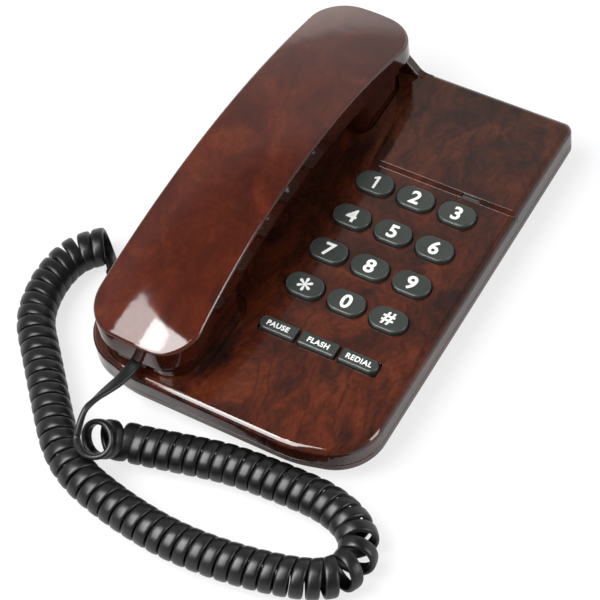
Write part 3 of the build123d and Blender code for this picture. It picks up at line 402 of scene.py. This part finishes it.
def helix(route):
    """Centre line of the left-handed coil round its route, and which way is out at each point."""
    line = resample(route_line("coil_route", route), 1600)
    heading = directions_of(line)
    radial = carry(heading, first_radial)
    along = lengths_of(line)
    window = 12
    before = np.clip(np.arange(len(line)) - window, 0, len(line) - 1)
    after = np.clip(np.arange(len(line)) + window, 0, len(line) - 1)
    turned_by = np.arccos(np.clip(np.sum(heading[before] * heading[after], axis=1), -1, 1))
    bend = turned_by / (along[after] - along[before])
    # turns spread out in a bend, so that they don't run into each other on its inside
    rate = 1.0 / np.maximum(coil_pitch, bend_pitch / np.maximum(1.0 - bend_radius * bend, 0.2))
    angle = np.concatenate([[0.0], np.cumsum(np.diff(along) * (rate[1:] + rate[:-1]) / 2)])
    angle *= 2 * pi * coil_turns / angle[-1]
    wanted = np.linspace(0.0, angle[-1], int(coil_turns * steps_per_turn) + 1)
    centre = rows_at(wanted, angle, line)
    ahead = unit(rows_at(wanted, angle, heading))
    out = unit(rows_at(wanted, angle, radial))
    side = np.cross(ahead, out)
    outward = out * np.cos(wanted)[:, None] - side * np.sin(wanted)[:, None]
    return centre + outward * coil_radius, outward


def squared(value, power):
    """A sine or cosine raised to a power, with its sign kept."""
    return np.sign(value) * abs(value) ** power


def flat_cable(name, line, outward):
    """Skin of a flat cable with rounded edges; outward is the way its flat face looks."""
    corners = 16
    heading = directions_of(line)
    outward = unit(outward - heading * np.sum(outward * heading, axis=1)[:, None])
    across = np.cross(heading, outward)
    rings = []
    for k in range(corners):
        turn = 2 * pi * (k + 0.5) / corners
        wide = squared(cos(turn), width_power) * cord_width / 2
        thick = squared(sin(turn), thickness_power) * cord_thickness / 2
        rings.append(line + across * wide + outward * thick)
    count = len(line)
    vertices = np.stack(rings, 1).reshape(-1, 3)
    faces = [(n * corners + k, n * corners + (k + 1) % corners,
              (n + 1) * corners + (k + 1) % corners, (n + 1) * corners + k)
             for n in range(count - 1) for k in range(corners)]
    faces.append(tuple(range(corners))[::-1])
    faces.append(tuple((count - 1) * corners + k for k in range(corners)))
    piece = mesh_object(name, vertices, faces)
    dress(piece, "cord_plastic")
    return piece


def blend_rows(one, two, count):
    """Directions that turn smoothly from one to another."""
    share = np.linspace(0.0, 1.0, count)[:, None]
    share = share * share * (3 - 2 * share)
    return unit(one * (1 - share) + two * share)


coil_line, coil_outward = helix(coil_route)
coil_heading = directions_of(coil_line)

# base end: the cable leaves the last turn and enters the plug with a flat face up
plug_low, plug_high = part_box("base_plug")
base_exit = Vector((plug_low[0], (plug_low[1] + plug_high[1]) / 2, base_exit_height))
base_tail_route = [coil_line[-1], coil_line[-1] + coil_heading[-1] * 8.3 * MM,
                   base_exit - Vector((7.5 * MM, 0.0, 0.0)), base_exit]
base_tail = resample(route_line("base_tail_route", base_tail_route), base_tail_steps)
base_outward = blend_rows(coil_outward[-1], np.array((0.0, 0.0, -1.0)), base_tail_steps)
coil_all = np.concatenate([coil_line, base_tail[1:]])
coil_piece = flat_cable("curly_cord", coil_all, np.concatenate([coil_outward, base_outward[1:]]))
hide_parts("cord_coil", "base_cord_tail")
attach(coil_piece, "base")

# handset end: out of the plug, over and down into the first turn
plug_low, plug_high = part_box("handset_plug")
handset_exit = Vector(((plug_low[0] + plug_high[0]) / 2 - 0.1 * MM, plug_low[1] + 0.07 * MM, handset_exit_height))
plug_way = Vector((sin(handset_turn), -cos(handset_turn), 0.0))
tail_route = [handset_exit, handset_exit + plug_way * 8.5 * MM,
              (-39.6 * MM, -116.8 * MM, 27.2 * MM), (-40.7 * MM, -123.4 * MM, 28.7 * MM),
              coil_line[0] - coil_heading[0] * 9.3 * MM, coil_line[0]]
handset_tail = resample(route_line("handset_tail_route", tail_route), handset_tail_steps)
tail_outward = blend_rows(np.array((0.0, 0.0, 1.0)), coil_outward[0], handset_tail_steps)
tail_piece = flat_cable("handset_tail", handset_tail, tail_outward)
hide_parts("handset_cord_tail")
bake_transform(tail_piece)


# ---------------------------------------------------------------- legends
print_height = 0.03 * MM
digit_size = 9.3 * MM
star_size = 15.0 * MM
hash_size = 8.6 * MM
word_size = 3.45 * MM
one_outline = [(-0.55, 0.0), (0.62, 0.0), (0.62, 6.9), (-0.30, 6.9), (-2.02, 5.75), (-1.66, 4.75), (-0.55, 5.42)]


def print_on(node, mesh, wide=1.0):
    """Set a legend's mesh in the middle of a key's top."""
    low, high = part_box(node)
    corners = np.array([v.co for v in mesh.vertices])
    middle = (corners.min(0) + corners.max(0)) / 2
    scale = Matrix.Diagonal((wide, 1.0, 1.0, 1.0))
    mesh.transform(Matrix.Translation(((low[0] + high[0]) / 2, (low[1] + high[1]) / 2, high[2] + print_height))
                   @ scale @ Matrix.Translation((-middle[0], -middle[1], 0)))
    piece = new_object(f"print_{node}", mesh)
    dress(piece, "legend_ink")
    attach(piece, node)


def legend(text, node, size, weight, wide=1.0, spacing=1.0):
    """White print on top of a key; weight is how far its strokes are thickened on each side."""
    data = bpy.data.curves.new(f"legend_{node}", "FONT")
    data.body = text
    data.size = size
    data.space_character = spacing
    data.align_x = "CENTER"
    data.align_y = "CENTER"
    data.extrude = print_height
    data.offset = weight
    data.resolution_u = 6
    writing = new_object(f"print_{node}", data)
    bpy.context.view_layer.update()
    mesh = bpy.data.meshes.new_from_object(writing)
    bpy.data.objects.remove(writing)
    print_on(node, mesh, wide)


one = bpy.data.meshes.new("print_key_1")
sides = len(one_outline)
one.from_pydata([(x * MM, y * MM, z) for z in (-print_height, print_height) for x, y in one_outline], [],
                [tuple(range(sides))[::-1], tuple(range(sides, 2 * sides))]
                + [(k, (k + 1) % sides, sides + (k + 1) % sides, sides + k) for k in range(sides)])
print_on("key_1", one)
for label in "234567890":
    legend(label, f"key_{label}", digit_size, 0.24 * MM, wide=1.04)
legend("*", "key_star", star_size, 0.18 * MM)
legend("#", "key_hash", hash_size, 0.20 * MM)
for name in ("pause", "flash", "redial"):
    legend(name.upper(), f"key_{name}", word_size, 0.11 * MM, spacing=1.10)

# ---------------------------------------------------------------- stage and light
reach = 4.0
floor = mesh_object("floor", [(-reach, -reach, 0), (reach, -reach, 0), (reach, reach, 0), (-reach, reach, 0)],
                    [(0, 1, 2, 3)])
made, tree, shader = material("pale_floor", Base_Color=(0.86, 0.86, 0.86), Roughness=0.9)
# part of the floor's white is its own, for the camera and in what mirrors or shows it, and the rest keeps the shadow
glow = tree.add("ShaderNodeEmission")
glow.inputs["Strength"].default_value = 1.0
paths = tree.add("ShaderNodeLightPath")
share = tree.add("ShaderNodeMixShader")
mirrored = tree.maths("MAXIMUM", paths.outputs["Is Glossy Ray"], paths.outputs["Is Transmission Ray"])
straight = tree.times(paths.outputs["Is Camera Ray"], 0.72)
tree.link(tree.maths("MAXIMUM", straight, tree.times(mirrored, 0.42)), share.inputs[0])
tree.link(shader.outputs[0], share.inputs[1])
tree.link(glow.outputs[0], share.inputs[2])
tree.link(share.outputs[0], made.node_tree.nodes["Material Output"].inputs["Surface"])
floor.data.materials.append(made)


def panel(name, towards, distance, size, power, turn=None, glossy=True, diffuse=True,
          aim=(-0.01, -0.03, 0.03), spread=180):
    """Rectangular light, seen from its aim in the direction given; level unless it is turned."""
    data = bpy.data.lights.new(name, "AREA")
    data.shape = "RECTANGLE"
    data.size, data.size_y = size
    data.energy = power
    data.spread = radians(spread)
    lamp = new_object(name, data)
    direction = Vector(towards).normalized()
    if turn is None:
        level = (Vector((1, 0, 0)) - direction * direction.x).normalized()
        spin = Matrix((level, direction.cross(level), direction)).transposed().to_4x4()
    else:
        spin = direction.to_track_quat("Z", "Y").to_matrix().to_4x4() @ Matrix.Rotation(turn, 4, "Z")
    lamp.matrix_world = Matrix.Translation(Vector(aim) + direction * distance) @ spin
    lamp.visible_glossy = glossy
    lamp.visible_diffuse = diffuse
    lamp.visible_camera = False


# soft light that nothing mirrors
panel("key_light", (-0.45, -0.35, 0.85), 1.6, (1.2, 1.2), 34.0, glossy=False)
panel("fill_light", (0.8, -0.2, 0.6), 1.8, (1.4, 1.4), 12.0, glossy=False)
# panels that only show as reflections: on the handset's near end, the right walls, the front rim and the deck's step
panel("window", (-0.440, -0.240, 0.93), 1.08, (0.36, 0.36), 3.8, turn=radians(40), diffuse=False,
      aim=(-0.036, -0.088, 0.045))
panel("right_strip", (0.86, 0.12, 0.42), 1.1, (0.55, 0.35), 6.0, diffuse=False)
panel("front_strip", (-0.363, -0.52, 0.77), 0.30, (0.15, 0.30), 2.1, diffuse=False, aim=(0.045, -0.097, 0.020))
panel("step_strip", (-0.363, 0.20, 0.911), 0.25, (0.11, 0.05), 0.003, diffuse=False, aim=(0.052, 0.042, 0.021),
      spread=20)

# the world is white to the camera, an even grey to the surfaces, and a studio with a bright far wall in reflections
world = bpy.data.worlds.new("studio")
bpy.context.scene.world = world
world.use_nodes = True
sky = Nodes(world.node_tree)
ways = sky.add("ShaderNodeTexCoord")
split = sky.apart(ways.outputs["Generated"])
by_height = sky.greys(split.outputs["Z"], [
    (0.0, 1.5), (0.15, 2.0), (0.30, 1.7), (0.37, 0.85), (0.60, 0.78), (0.77, 0.88), (0.85, 0.36), (1.0, 0.20)], False)
by_depth = sky.greys(sky.maths("MULTIPLY_ADD", split.outputs["Y"], 0.5, 0.5), [
    (0.12, 0.15), (0.50, 0.50), (0.72, 0.50), (0.90, 1.0)], False)
studio = sky.mix(1.0, by_height, by_depth, "MULTIPLY")
light_path = sky.add("ShaderNodeLightPath")
seen = sky.mix(light_path.outputs["Is Glossy Ray"], (0.45, 0.45, 0.45), studio)
seen = sky.mix(light_path.outputs["Is Camera Ray"], seen, (1.0, 1.0, 1.0))
sky.link(seen, world.node_tree.nodes["Background"].inputs["Color"])
bpy.context.scene.view_settings.view_transform = "Standard"
